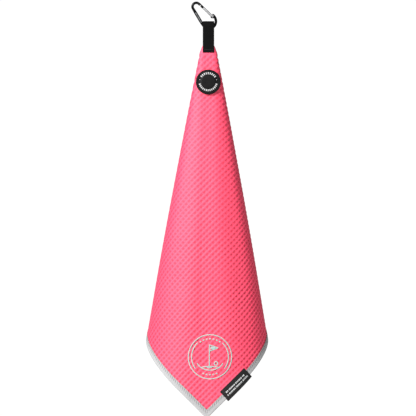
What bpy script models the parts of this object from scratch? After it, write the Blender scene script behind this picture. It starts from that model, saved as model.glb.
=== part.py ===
"""Golf towel: a square waffle towel with bound edges, hung by one corner from a webbing
loop on a small carabiner, with a round magnet patch and a folded edge label.

Metres, +Z up.  The origin is the inside of the carabiner's top bend, where it hangs.
The front faces -Y.
"""
import bpy
import bmesh
import math
from mathutils import Matrix, Vector

# ---------------------------------------------------------------- driving dimensions
# carabiner body: one bent rod in the plane Y = 0
ROD_D = 0.0041              # rod diameter
SPINE_WIDE = 1.16           # the spine's rod is pressed wider in the plane ...
SPINE_THIN = 0.92           # ... and thinner across it
NOSE_HEADING = 138.0        # degrees, from the nose's tip back towards the top bend
NOSE_LEN = 0.0087
TOP_BEND_R = 0.00575
SPINE_SLOPE = 59.2          # degrees below horizontal
SPINE_LEN = 0.0286
HEEL_BEND_R = 0.0083        # spine to bottom bar
BAR_LEN = 0.0062
TOE_BEND_R = 0.0049         # bottom bar to the hinge arm
TOE_TURN = 49.3             # degrees
ARM_R = 0.0118              # the arm that carries the gate's hinge
ARM_TURN = 92.7             # degrees

# gate, its hinge and its latch
GATE_D = 0.0036
PIN_INSET = 0.0026          # gate pin, from the end of the arm ...
PIN_BEARING = 259.0         # ... in this direction, degrees
PIN_D = 0.0010
TANG_T = 0.0014             # plate that the gate's fork straddles
TANG_ROOT_R = 0.00164       # its other end, buried in the arm ...
TANG_ROOT_BEARING = 30.0    # ... in this direction from the arm's centre, degrees
SHANK_ROOM = 0.0075         # length of the flat that clears the gate's root
CAM_R = 0.0019              # the tang's round nose, off the pin's centre
CAM_OFFSET = 0.0013
CAM_BEARING = 190.0         # degrees
NOSE_GAP = 0.0004           # nose tip to gate shoulder
LATCH_REACH = 0.0052        # gate shoulder's gap to the latch pin
LATCH_D = 0.0011
LATCH_LEN = 0.0032
TONGUE_T = 0.0009
TONGUE_W = 0.0020
NOSE_SLOT = 0.0015
PLUNGER_D = 0.0014
PLUNGER_LEN = 0.0035
PLUNGER_TRAVEL = 0.0005
PLUNGER_FROM = 0.0027       # pin to the plunger's tip, at rest
FORK_DEEP = 0.0036          # pin to the bottom of the gate's fork
FORK_BEHIND = 0.0036        # the fork's cut reaches this far behind the pin
GATE_CHAMFER = 0.0003
TONGUE_ROOT = 0.0020        # the tongue starts this deep inside the gate
NOSE_SLOT_END = 0.0014      # the nose's slot runs this far past the latch pin
DOME_SHARES = (0.35, 0.7, 0.92)     # stations of a rounded end, in radii of the rod
SPRING_WIRE = 0.00022
SPRING_LEN = 0.0041
SPRING_TURNS = 7

# webbing loop
WEB_W = 0.0173
WEB_T = 0.0010
LOOP_BORE_R = 0.0055        # inside of the loop, clear of the bent bar at every swing
LOOP_SHIFT = 0.001635       # centre of the loop, from the bar's middle towards the spine
LOOP_RISE = 0.003161        # and above the bar's centreline
WEB_LEG_END = 0.0113        # legs reach this far below the clamp line
TACK_LEN = 0.0140
TACK_W = 0.0022
TACK_T = 0.0004

# towel
SIDE = 0.4060               # the square's side, binding included
CLOTH_T = 0.0015
CLAMP_DROP = 0.0298         # loop centre down to the clamp line
CONE_START = 0.0180         # the drape starts as if this far above the clamp line
LEAN = 0.0047               # the towel's tip hangs this much to -X per metre of drop
BIND_W = 0.0087             # visible width of the binding
BIND_OUT = 0.0010           # it stands this far past the cloth's edge
BIND_T = 0.0024

# patch and label
PATCH_D = 0.0378
PATCH_AT = 0.0568           # from the clamp line, down the front
BACKING_T = 0.0008
COVER_H = 0.0032
COVER_SKIN = 0.0008
MAGNET_D = 0.0300
MAGNET_T = 0.0020
LABEL_LEN = 0.0520
LABEL_W = 0.0166
LABEL_T = 0.0006
LABEL_OUT = 0.0038          # the label's fold stands past the towel's edge
LABEL_AT = 0.0670           # from the tip to the label's middle, along the edge

GAP = 0.0003                # between pieces that rest on each other
PIN_GAP = 0.00012           # around the gate's small pins
SPRING_FROM = PLUNGER_FROM + PLUNGER_LEN + PLUNGER_TRAVEL + PIN_GAP
LEG_GAP = CLOTH_T / 2 + GAP         # cloth's middle to a webbing leg's inner face
LOOP_R = LOOP_BORE_R + WEB_T / 2    # middle of the webbing round the bar
CLOTH_INSET = BIND_W + 2 * GAP      # the square's edge to the cloth's own edge

# how finely the cloth is divided
RAYS = 24                   # from the middle line to each side
ROWS = 18                   # down each ray
FIRST_ROW = 2               # the binding starts at this row of the cloth's side
TIP_STATION = ROWS - FIRST_ROW + RAYS + 1
ROW_CROWDING = 1.15         # rows lie closer together near the clamp
RAY_CROWDING = 0.25         # rays lie closer together near the sides

# drape: the section of the hanging cloth, as arcs (radius, turn in degrees) of a unit cone;
# the cloth's side rays crowd together by SIDE_SHARE, in place of the pleats tucked inside
FRONT_ARCS = ((0.230, 31.7), (0.1225, 58.3))
BACK_ARCS = ((0.105, 68.0), (0.24, 24.0))
SIDE_SHARE = 0.42

# ---------------------------------------------------------------- small helpers
Y_AXIS = Vector((0.0, 1.0, 0.0))


def clear_scene():
    for obj in list(bpy.data.objects):
        bpy.data.objects.remove(obj, do_unlink=True)


def material(name, colour, roughness, metallic=0.0):
    mat = bpy.data.materials.new(name)
    mat.use_nodes = True
    bsdf = mat.node_tree.nodes["Principled BSDF"]
    bsdf.inputs["Base Color"].default_value = (*colour, 1.0)
    bsdf.inputs["Roughness"].default_value = roughness
    bsdf.inputs["Metallic"].default_value = metallic
    return mat


def add_object(name, bm, mat=None, parent=None, at=None, smooth=True):
    """Turn a bmesh into an object; `at` moves its origin there without moving the mesh."""
    bmesh.ops.recalc_face_normals(bm, faces=bm.faces)
    if at is not None:
        bmesh.ops.translate(bm, vec=-Vector(at), verts=bm.verts)
    mesh = bpy.data.meshes.new(name)
    bm.to_mesh(mesh)
    bm.free()
    if smooth:
        mesh.shade_smooth()
        mesh.set_sharp_from_angle(angle=math.radians(35))
    obj = bpy.data.objects.new(name, mesh)
    bpy.context.scene.collection.objects.link(obj)
    if mat:
        mesh.materials.append(mat)
    place = Vector(at) if at is not None else Vector()
    if parent:
        obj.parent = parent
        place = place - parent.matrix_world.translation
    obj.location = place
    return obj


def joint_empty(name, at):
    empty = bpy.data.objects.new(name, None)
    empty.location = at
    bpy.context.scene.collection.objects.link(empty)
    empty.matrix_world = Matrix.Translation(at)
    return empty


def boolean(obj, operation, tool):
    tool.hide_render = True
    tool.display_type = "WIRE"
    mod = obj.modifiers.new(tool.name, "BOOLEAN")
    mod.operation = operation
    mod.solver = "EXACT"
    mod.object = tool


def basis(along, side, origin):
    """Matrix whose X runs along `along`, Y along `side`, placed at `origin`."""
    x = Vector(along).normalized()
    y = Vector(side).normalized()
    z = x.cross(y)
    turn = Matrix((x, y, z)).transposed().to_4x4()
    return Matrix.Translation(origin) @ turn


def box_mesh(low, high, frame=None):
    bm = bmesh.new()
    size = Vector(high) - Vector(low)
    middle = (Vector(high) + Vector(low)) / 2
    spread = Matrix.Translation(middle) @ Matrix.Diagonal((*size, 1.0))
    bmesh.ops.create_cube(bm, size=1.0, matrix=(frame or Matrix()) @ spread)
    return bm


def turned_mesh(profile, start, axis, side, segments=24):
    """Solid of revolution: (distance along axis, radius) pairs, both ends capped."""
    bm = bmesh.new()
    frame = basis(axis, side, start)
    rings = []
    for along, radius in profile:
        ring = []
        for k in range(segments):
            a = 2 * math.pi * k / segments
            spot = Vector((along, radius * math.cos(a), radius * math.sin(a)))
            ring.append(bm.verts.new(frame @ spot))
        rings.append(ring)
    skin_rings(bm, rings, closed=False)
    return bm


def skin_rings(bm, rings, closed):
    count = len(rings)
    for i in range(count if closed else count - 1):
        near = rings[i]
        far = rings[(i + 1) % count]
        for k in range(len(near)):
            n = (k + 1) % len(near)
            bm.faces.new((near[k], near[n], far[n], far[k]))
    if not closed:
        bm.faces.new(rings[0])
        bm.faces.new(tuple(reversed(rings[-1])))


# ---------------------------------------------------------------- plane paths of arcs
def heading_vector(degrees):
    a = math.radians(degrees)
    return Vector((math.cos(a), math.sin(a)))


def walk(spot, heading, radius, turn, length):
    """End of a stretch that starts at `spot`: an arc of signed `turn`, or straight."""
    if not turn:
        return spot + heading_vector(heading) * length, heading
    sign = 1.0 if turn > 0 else -1.0
    centre = spot + heading_vector(heading + 90.0 * sign) * radius
    end = centre + heading_vector(heading + turn - 90.0 * sign) * radius
    return end, heading + turn


def carabiner_path():
    """Centreline of the rod in X, Z from nose to hinge arm, and the middle of its bar.

    The line is a list of (point, heading, swelling).
    """
    stretches = (
        (0.0, 0.0, NOSE_LEN, 4, 0.0),
        (TOP_BEND_R, 360.0 - NOSE_HEADING - SPINE_SLOPE, 0.0, 14, 0.0),
        (0.0, 0.0, SPINE_LEN, 10, 1.0),
        (HEEL_BEND_R, SPINE_SLOPE, 0.0, 7, 0.0),
        (0.0, 0.0, BAR_LEN, 2, 0.0),
        (TOE_BEND_R, TOE_TURN, 0.0, 5, 0.0),
        (ARM_R, ARM_TURN, 0.0, 10, 0.0),
    )
    spot = Vector((0.0, 0.0))
    heading = NOSE_HEADING
    path = [(spot, heading, 0.0)]
    bar = spot
    for radius, turn, length, steps, spine in stretches:
        for i in range(1, steps + 1):
            share = i / steps
            at, facing = walk(spot, heading, radius, turn * share, length * share)
            swell = spine * min(1.0, 4 * share, 4 * (1 - share))
            path.append((at, facing, swell))
        if length == BAR_LEN:
            bar = walk(spot, heading, radius, turn, length / 2)[0]
        spot, heading = walk(spot, heading, radius, turn, length)
    # the inside of the top bend is the origin
    nose = heading_vector(NOSE_HEADING) * NOSE_LEN
    bend_centre = nose + heading_vector(NOSE_HEADING + 90.0) * TOP_BEND_R
    shift = Vector((0.0, -(TOP_BEND_R - ROD_D / 2))) - bend_centre
    return [(at + shift, facing, swell) for at, facing, swell in path], bar + shift


def in_plane(point):
    return Vector((point.x, 0.0, point.y))


PATH, BAR_MIDDLE = carabiner_path()
NOSE_TIP = in_plane(PATH[0][0])
ARM_END = in_plane(PATH[-1][0])
PIN_AT = ARM_END + in_plane(heading_vector(PIN_BEARING)) * PIN_INSET
GATE_DIR = (NOSE_TIP - PIN_AT).normalized()
GATE_LEN = (NOSE_TIP - PIN_AT).length - NOSE_GAP
INWARD = GATE_DIR.cross(Y_AXIS)
LATCH_AT = PIN_AT + GATE_DIR * (GATE_LEN + NOSE_GAP + LATCH_REACH)
CAM_CENTRE = PIN_AT + in_plane(heading_vector(CAM_BEARING)) * CAM_OFFSET
LOOP_AT = in_plane(BAR_MIDDLE) + Vector((-LOOP_SHIFT, 0.0, LOOP_RISE))
CLAMP_Z = LOOP_AT.z - CLAMP_DROP
CLAMP_HALF = WEB_W / 2 + PIN_GAP


# ---------------------------------------------------------------- the hanging cloth
def drape_section(angle):
    """Where the ray at this angle of the cloth lies in a cone of unit radius."""
    quarter = sum(r * math.radians(t) for r, t in FRONT_ARCS)
    left = min(angle, quarter) + max(0.0, angle - quarter) * SIDE_SHARE
    spot = Vector((0.0, -drape_depth()))
    heading = 0.0
    for radius, turn in FRONT_ARCS + BACK_ARCS:
        length = radius * math.radians(turn)
        share = min(1.0, left / length)
        spot, heading = walk(spot, heading, radius, turn * share, 0.0)
        left -= length
        if left <= 0.0:
            return spot
    return spot + heading_vector(heading) * left


def drape_depth():
    """Forward lean of the cloth's front, per metre of its length."""
    depth = 0.0
    heading = 0.0
    for radius, turn in FRONT_ARCS:
        nearer = math.cos(math.radians(heading))
        heading += turn
        depth += radius * (nearer - math.cos(math.radians(heading)))
    return depth


FRONT_LEAN = drape_depth()
FRONT_FALL = math.sqrt(1 - FRONT_LEAN ** 2)


def cloth_point(u, v):
    """World place of the cloth's point (u, v), measured along its two upper edges."""
    down = (u + v) / math.sqrt(2)
    across = (u - v) / math.sqrt(2)
    side = 1.0 if across >= 0 else -1.0
    out = abs(across) - CLAMP_HALF
    fall = down - CLAMP_HALF
    if fall <= 0:
        x, y, z = across, 0.0, -fall
    elif out <= 0:
        x, y, z = across, -FRONT_LEAN * fall, -FRONT_FALL * fall
    else:
        ray = math.hypot(out, fall)
        reach = ray + CONE_START
        section = drape_section(math.atan2(out, fall))
        drop = math.sqrt(1 - section.x ** 2 - section.y ** 2)
        x = side * (CLAMP_HALF + reach * section.x)
        y = reach * section.y + CONE_START * FRONT_LEAN
        z = -ray * drop
    return Vector((LOOP_AT.x + x + LEAN * z, y, CLAMP_Z + z))


def cloth_normal(u, v):
    """Unit normal, towards the outside of the hanging cone."""
    d = 0.0004
    du = cloth_point(u + d, v) - cloth_point(u - d, v)
    dv = cloth_point(u, v + d) - cloth_point(u, v - d)
    return dv.cross(du).normalized()


def cloth_offset(u, v, height):
    return cloth_point(u, v) + cloth_normal(u, v) * height


def square_point(down, across):
    return (down + across) / math.sqrt(2), (down - across) / math.sqrt(2)


def ray_start(side):
    """The inset square's own clamp corner, from which its rays fan out."""
    return CLAMP_HALF + math.sqrt(2) * CLOTH_INSET, side * CLAMP_HALF


def ray_angle(j):
    """Angles crowd a little towards the pleats at the side."""
    share = j / RAYS
    return math.radians(45) * ((1 + RAY_CROWDING) * share - RAY_CROWDING * share ** 2)


def ray_point(side, j, i):
    """(u, v) of row i on ray j of one half; row ROWS is on the lower inset edge."""
    down, across = ray_start(side)
    angle = ray_angle(j)
    far = SIDE - CLOTH_INSET
    to_edge = (far * math.sqrt(2) - down - abs(across)) / (math.sin(angle) + math.cos(angle))
    share = (i / ROWS) ** ROW_CROWDING
    ray = to_edge * share
    return square_point(down + ray * math.cos(angle), across + side * ray * math.sin(angle))


def centre_point(i):
    down, across = ray_start(1)
    tip = (SIDE - CLOTH_INSET) * math.sqrt(2)
    share = (i / ROWS) ** ROW_CROWDING
    return square_point(down + (tip - down) * share, 0.0)


def build_cloth(mat, parent):
    bm = bmesh.new()
    columns = []
    for side, order in ((-1, range(RAYS, -1, -1)), (1, range(0, RAYS + 1))):
        for j in order:
            column = [ray_point(side, j, i) for i in range(ROWS + 1)]
            columns.append(column)
        if side < 0:
            columns.append([centre_point(i) for i in range(ROWS + 1)])
    grid = [[bm.verts.new(cloth_point(u, v)) for u, v in column] for column in columns]
    # the corner between the webbing's legs
    corner_down = CLOTH_INSET * math.sqrt(2)
    corner = bm.verts.new(cloth_point(*square_point(corner_down, 0.0)))
    middle = len(grid) // 2
    for j in range(len(grid) - 1):
        starts_together = j not in (middle - 1, middle)
        for i in range(ROWS):
            quad = [grid[j][i], grid[j + 1][i], grid[j + 1][i + 1], grid[j][i + 1]]
            if i == 0 and starts_together:
                continue
            bm.faces.new(quad)
    for j in range(len(grid) - 1):
        if j in (middle - 1, middle):
            continue
        hub = grid[middle - 1][0] if j < middle else grid[middle + 1][0]
        bm.faces.new((hub, grid[j + 1][1], grid[j][1]))
    spare = [grid[j][0] for j in range(len(grid)) if j not in (middle - 1, middle, middle + 1)]
    for vert in spare:
        bm.verts.remove(vert)
    bm.faces.new((corner, grid[middle][0], grid[middle - 1][0]))
    bm.faces.new((corner, grid[middle + 1][0], grid[middle][0]))
    obj = add_object("towel_cloth", bm, mat, parent, LOOP_AT)
    mod = obj.modifiers.new("thickness", "SOLIDIFY")
    mod.thickness = CLOTH_T
    mod.offset = 0.0
    return obj


def edge_station(k, inset):
    """(u, v) of station k on the binding's path, this far inside the cloth's edge."""
    if k > TIP_STATION:
        v, u = edge_station(2 * TIP_STATION - k, inset)
        return u, v
    near = ray_point(1, RAYS, FIRST_ROW)[0]
    row = FIRST_ROW + k
    if row < ROWS:
        share = (ray_point(1, RAYS, row)[0] - near) / (SIDE - CLOTH_INSET - near)
        return near + (SIDE - inset - near) * share, inset
    share = 1.0
    if k < TIP_STATION:
        v = ray_point(1, RAYS - (row - ROWS), ROWS)[1]
        share = (v - CLOTH_INSET) / (SIDE - 2 * CLOTH_INSET)
    return SIDE - inset, inset + (SIDE - 2 * inset) * share


def sleeve_mesh(count, place, insets, half, slot=None):
    """Strip along an edge through `place(k, inset)`; a slot (depth, room) folds it over."""
    bm = bmesh.new()
    rim = [(inset, half) for inset in insets] + [(inset, -half) for inset in reversed(insets)]
    if slot is not None:
        deep, room = slot
        rim += [(insets[0], -room), (deep, -room), (deep, room), (insets[0], room)]
    rings = []
    for k in range(count):
        ring = [bm.verts.new(cloth_offset(*place(k, inset), height)) for inset, height in rim]
        rings.append(ring)
    skin_rings(bm, rings, closed=False)
    return bm


def binding_mesh():
    """The bound edge as a flat bar."""
    steps = 3
    wide = BIND_W + BIND_OUT
    insets = [BIND_W - wide * i / steps for i in range(steps + 1)]
    return sleeve_mesh(2 * TIP_STATION + 1, edge_station, insets, BIND_T / 2)


def build_binding(mat, parent):
    return add_object("edge_binding", binding_mesh(), mat, parent, LOOP_AT)


def build_label(mat, parent):
    """A short tape folded over the binding of the lower right edge."""
    steps = 10
    start = LABEL_AT - LABEL_LEN / 2

    def place(k, inset):
        return SIDE - inset, SIDE - start - LABEL_LEN * k / steps

    room = BIND_T / 2 + 2 * GAP
    slot = (-BIND_OUT - GAP - PIN_GAP, room)
    inner = LABEL_W - LABEL_OUT
    bm = sleeve_mesh(steps + 1, place, (inner, -LABEL_OUT), room + LABEL_T, slot)
    return add_object("edge_label", bm, mat, parent, LOOP_AT)


# ---------------------------------------------------------------- patch
FRONT_DIR = Vector((-LEAN * FRONT_FALL, -FRONT_LEAN, -FRONT_FALL)).normalized()
FRONT_OUT = FRONT_DIR.cross(Vector((1.0, 0.0, 0.0))).normalized()
FRONT_SIDE = FRONT_DIR.cross(FRONT_OUT)


def front_point(fall, height):
    """Place on the front's middle line, this far off its outer face."""
    down = fall + CLAMP_HALF
    surface = cloth_point(*square_point(down, 0.0))
    return surface + FRONT_OUT * (CLOTH_T / 2 + height)


def build_patch(cover_mat, magnet_mat, backing_mat, parent):
    rim = PATCH_D / 2
    backing_end = GAP + BACKING_T
    cover_start = backing_end + GAP
    pocket_r = MAGNET_D / 2 + GAP
    pocket_top = COVER_H - COVER_SKIN
    facets = 48
    backing = turned_mesh(((0.0, rim), (BACKING_T, rim)), front_point(PATCH_AT, GAP),
                          FRONT_OUT, FRONT_SIDE, facets)
    add_object("patch_backing", backing, backing_mat, parent, LOOP_AT)
    magnet = turned_mesh(((0.0, MAGNET_D / 2), (MAGNET_T, MAGNET_D / 2)),
                         front_point(PATCH_AT, cover_start), FRONT_OUT, FRONT_SIDE, facets)
    add_object("patch_magnet", magnet, magnet_mat, parent, LOOP_AT)
    bevel = COVER_SKIN / 2
    profile = ((pocket_top, 0.0), (pocket_top, pocket_r), (0.0, pocket_r), (0.0, rim),
               (COVER_H - bevel, rim), (COVER_H, rim - bevel), (COVER_H, 0.0))
    cover = lathe_mesh(profile, front_point(PATCH_AT, cover_start), FRONT_OUT, FRONT_SIDE,
                       facets)
    add_object("patch_cover", cover, cover_mat, parent, LOOP_AT)


def lathe_mesh(profile, start, axis, side, segments):
    """Solid of revolution whose profile starts and ends on the axis."""
    frame = basis(axis, side, start)
    bm = bmesh.new()
    rings = []
    for along, radius in profile:
        if radius == 0.0:
            rings.append([bm.verts.new(frame @ Vector((along, 0.0, 0.0)))])
            continue
        ring = []
        for k in range(segments):
            a = 2 * math.pi * k / segments
            spot = Vector((along, radius * math.cos(a), radius * math.sin(a)))
            ring.append(bm.verts.new(frame @ spot))
        rings.append(ring)
    for near, far in zip(rings, rings[1:]):
        for k in range(segments):
            n = (k + 1) % segments
            corners = [near[k % len(near)], near[n % len(near)]]
            corners += [far[n % len(far)], far[k % len(far)]]
            bm.faces.new(list(dict.fromkeys(corners)))
    return bm


# ---------------------------------------------------------------- webbing
def webbing_line():
    """Middle line of the webbing in Y, Z, from the front leg's end round to the back's."""
    leg_y = LEG_GAP + WEB_T / 2
    corner_z = CLAMP_Z + CLAMP_HALF
    drop = LOOP_AT.z - corner_z
    # the straight part touches the loop's circle at this angle
    touch = -math.asin((LOOP_R - leg_y) / drop) if drop > LOOP_R else 0.0
    steps = 16
    line = []
    for sign in (-1, 1):
        end_y = -FRONT_LEAN * WEB_LEG_END + sign * leg_y / FRONT_FALL
        leg = [(end_y, CLAMP_Z - FRONT_FALL * WEB_LEG_END), (sign * leg_y, CLAMP_Z)]
        leg.append((sign * leg_y, corner_z))
        line.append(leg)
    front, back = line
    loop = []
    for i in range(steps + 1):
        a = math.pi - touch + (2 * touch - math.pi) * i / steps
        loop.append((LOOP_R * math.cos(a), LOOP_AT.z + LOOP_R * math.sin(a)))
    return front + loop + back[::-1]


def build_webbing(mat, parent):
    line = [Vector(p) for p in webbing_line()]
    rims = []
    for i, spot in enumerate(line):
        before = line[max(i - 1, 0)]
        after = line[min(i + 1, len(line) - 1)]
        entry = (spot - before).normalized() if i else (after - spot).normalized()
        leave = (after - spot).normalized() if i < len(line) - 1 else entry
        tangent = (entry + leave).normalized()
        normal = Vector((-tangent.y, tangent.x))
        stretch = 1.0 / max(0.5, normal.dot(Vector((-entry.y, entry.x))))
        rims.append((spot, normal * stretch))
    bm = bmesh.new()
    rings = []
    for spot, normal in rims:
        ring = []
        for x, side in ((-1, 1), (1, 1), (1, -1), (-1, -1)):
            at = spot + normal * (side * WEB_T / 2)
            ring.append(bm.verts.new((LOOP_AT.x + x * WEB_W / 2, at.x, at.y)))
        rings.append(ring)
    skin_rings(bm, rings, closed=False)
    return add_object("webbing_loop", bm, mat, parent, LOOP_AT)


def build_tacks(mat, parent):
    """Bar tacks across both legs, just above their ends."""
    low = WEB_LEG_END - 2 * TACK_W
    for name, side in (("bar_tack_front", 1), ("bar_tack_back", -1)):
        start = LEG_GAP + WEB_T + PIN_GAP
        surface = front_point(low, 0.0) - FRONT_OUT * CLOTH_T / 2
        frame = basis(FRONT_SIDE, FRONT_DIR, surface)
        out = 1 if (frame.to_3x3() @ Vector((0, 0, 1))).dot(FRONT_OUT) > 0 else -1
        near, far = side * out * start, side * out * (start + TACK_T)
        corner = (-TACK_LEN / 2, -TACK_W / 2, min(near, far))
        other = (TACK_LEN / 2, TACK_W / 2, max(near, far))
        bm = box_mesh(corner, other, frame)
        add_object(name, bm, mat, parent, LOOP_AT)


# ---------------------------------------------------------------- carabiner
def build_carabiner(mat):
    sides = 16
    bm = bmesh.new()
    rings = []
    stations = [(at, facing, swell, 1.0) for at, facing, swell in PATH]
    # the arm's end is rounded off
    dome = []
    end, facing, swell = PATH[-1]
    for share in DOME_SHARES:
        forward = heading_vector(facing) * (ROD_D / 2 * share)
        dome.append((end + forward, facing, swell, math.sqrt(1 - share ** 2)))
    for at, facing, swell, size in stations + dome:
        across = in_plane(heading_vector(facing + 90.0))
        wide = ROD_D / 2 * size * (1 + (SPINE_WIDE - 1) * swell)
        thin = ROD_D / 2 * size * (1 + (SPINE_THIN - 1) * swell)
        ring = []
        for k in range(sides):
            a = 2 * math.pi * (k + 0.5) / sides
            ring.append(bm.verts.new(in_plane(at) + across * (wide * math.cos(a))
                                     + Y_AXIS * (thin * math.sin(a))))
        rings.append(ring)
    skin_rings(bm, rings, closed=False)
    body = add_object("carabiner_body", bm, mat)
    room = GATE_D / 2 + GAP

    # room for the gate's fork and shank
    keep_out = box_mesh((0.0, -ROD_D, -room), (SHANK_ROOM, ROD_D, room),
                        basis(GATE_DIR, Y_AXIS, PIN_AT))
    boolean(body, "DIFFERENCE", add_object("gate_shank_room", keep_out, smooth=False))
    knuckle = turned_mesh(((-ROD_D, room), (ROD_D, room)), PIN_AT, Y_AXIS, GATE_DIR)
    boolean(body, "DIFFERENCE", add_object("gate_knuckle_room", knuckle, smooth=False))

    # the tang: a plate from inside the arm out to the pin, its nose a cam
    bm = bmesh.new()
    arm_centre = ARM_END - in_plane(heading_vector(ARM_TURN + TOE_TURN - 90.0)) * ARM_R
    root = arm_centre + in_plane(heading_vector(TANG_ROOT_BEARING)) * ARM_R
    for centre, radius in ((CAM_CENTRE, CAM_R), (root, TANG_ROOT_R)):
        for side in (-1, 1):
            for k in range(24):
                a = 2 * math.pi * k / 24
                spot = centre + Vector((radius * math.cos(a), 0.0, radius * math.sin(a)))
                bm.verts.new(spot + Y_AXIS * (side * TANG_T / 2))
    hull = bmesh.ops.convex_hull(bm, input=bm.verts)
    spare = [item for item in hull["geom_interior"] if isinstance(item, bmesh.types.BMVert)]
    bmesh.ops.delete(bm, geom=spare, context="VERTS")
    boolean(body, "UNION", add_object("tang_blank", bm, smooth=False))
    hole = PIN_D / 2 + PIN_GAP
    bore = turned_mesh(((-ROD_D, hole), (ROD_D, hole)), PIN_AT, Y_AXIS, GATE_DIR, 16)
    boolean(body, "DIFFERENCE", add_object("tang_bore", bore, smooth=False))

    # the nose's fork, and the notch that the latch pin drops into
    deep = LATCH_REACH + NOSE_SLOT_END
    nose_axis = in_plane(heading_vector(NOSE_HEADING))
    slot = box_mesh((-ROD_D, -NOSE_SLOT / 2, -ROD_D), (deep, NOSE_SLOT / 2, ROD_D),
                    basis(nose_axis, Y_AXIS, NOSE_TIP))
    boolean(body, "DIFFERENCE", add_object("nose_slot", slot, smooth=False))
    seat = LATCH_D / 2 + GAP
    notch = box_mesh((0.0, -ROD_D, -seat), (1.5 * ROD_D, ROD_D, seat),
                     basis(INWARD, Y_AXIS, LATCH_AT))
    boolean(body, "DIFFERENCE", add_object("latch_notch", notch, smooth=False))
    hook = turned_mesh(((-ROD_D, seat), (ROD_D, seat)), LATCH_AT, Y_AXIS, GATE_DIR, 16)
    boolean(body, "DIFFERENCE", add_object("latch_seat", hook, smooth=False))
    return body


def build_gate(gate_mat, pin_mat, spring_mat):
    pivot = joint_empty("gate_pivot", PIN_AT)
    radius = GATE_D / 2
    profile = []
    for k in range(6):
        a = math.radians(90.0 * k / 6)
        profile.append((-radius * math.cos(a), max(radius * math.sin(a), radius * 0.12)))
    profile += [(0.0, radius), (GATE_LEN - GATE_CHAMFER, radius)]
    profile.append((GATE_LEN, radius - GATE_CHAMFER))
    gate = add_object("carabiner_gate", turned_mesh(profile, PIN_AT, GATE_DIR, Y_AXIS, 24),
                      gate_mat, pivot, PIN_AT)
    frame = basis(GATE_DIR, Y_AXIS, PIN_AT)
    latch_x = GATE_LEN + NOSE_GAP + LATCH_REACH
    tongue = box_mesh((GATE_LEN - TONGUE_ROOT, -TONGUE_T / 2, -TONGUE_W / 2),
                      (latch_x + TONGUE_W / 2, TONGUE_T / 2, TONGUE_W / 2), frame)
    boolean(gate, "UNION", add_object("tongue_blank", tongue, smooth=False))
    fork = box_mesh((-FORK_BEHIND, -TANG_T / 2 - GAP, -GATE_D),
                    (FORK_DEEP, TANG_T / 2 + GAP, GATE_D), frame)
    boolean(gate, "DIFFERENCE", add_object("fork_slot", fork, smooth=False))
    bore_r = PLUNGER_D / 2 + PIN_GAP
    bore_end = SPRING_FROM + SPRING_LEN + PIN_GAP
    bore = turned_mesh(((PLUNGER_FROM, bore_r), (bore_end, bore_r)), PIN_AT, GATE_DIR,
                       Y_AXIS, 16)
    boolean(gate, "DIFFERENCE", add_object("spring_bore", bore, smooth=False))
    for name, at, diameter in (("gate_hinge_hole", PIN_AT, PIN_D), ("latch_hole", LATCH_AT, LATCH_D)):
        hole = diameter / 2 + PIN_GAP
        drill = turned_mesh(((-ROD_D, hole), (ROD_D, hole)), at, Y_AXIS, GATE_DIR, 16)
        boolean(gate, "DIFFERENCE", add_object(name, drill, smooth=False))

    half = GATE_D / 2 - PIN_GAP
    rivet = turned_mesh(((-half, PIN_D / 2), (half, PIN_D / 2)), PIN_AT, Y_AXIS, GATE_DIR, 16)
    add_object("gate_hinge_pin", rivet, pin_mat, None, PIN_AT)
    half = LATCH_LEN / 2
    latch = turned_mesh(((-half, LATCH_D / 2), (half, LATCH_D / 2)), LATCH_AT, Y_AXIS, GATE_DIR, 16)
    add_object("gate_latch_pin", latch, pin_mat, pivot, PIN_AT)

    tip = PLUNGER_D / 2
    shape = [(0.0, tip * 0.15), (tip * 0.13, tip * 0.5), (tip * 0.4, tip * 0.8), (tip, tip),
             (PLUNGER_LEN, tip)]
    plunger = turned_mesh(shape, PIN_AT + GATE_DIR * PLUNGER_FROM, GATE_DIR, Y_AXIS, 16)
    add_object("gate_plunger", plunger, pin_mat, pivot, PIN_AT)
    add_object("gate_spring", spring_mesh(), spring_mat, pivot, PIN_AT)


def spring_mesh():
    """A helix of wire along the gate's bore."""
    bm = bmesh.new()
    frame = basis(GATE_DIR, Y_AXIS, PIN_AT)
    mean_r = (PLUNGER_D - SPRING_WIRE) / 2
    per_turn = 12
    steps = SPRING_TURNS * per_turn
    run = SPRING_LEN - SPRING_WIRE
    rings = []
    for i in range(steps + 1):
        a = 2 * math.pi * i / per_turn
        centre = Vector((SPRING_FROM + SPRING_WIRE / 2 + run * i / steps,
                         mean_r * math.cos(a), mean_r * math.sin(a)))
        radial = Vector((0.0, math.cos(a), math.sin(a)))
        ring = []
        for k in range(5):
            b = 2 * math.pi * k / 5
            spot = centre + radial * (SPRING_WIRE / 2 * math.cos(b))
            spot.x += SPRING_WIRE / 2 * math.sin(b)
            ring.append(bm.verts.new(frame @ spot))
        rings.append(ring)
    skin_rings(bm, rings, closed=False)
    return bm


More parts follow.
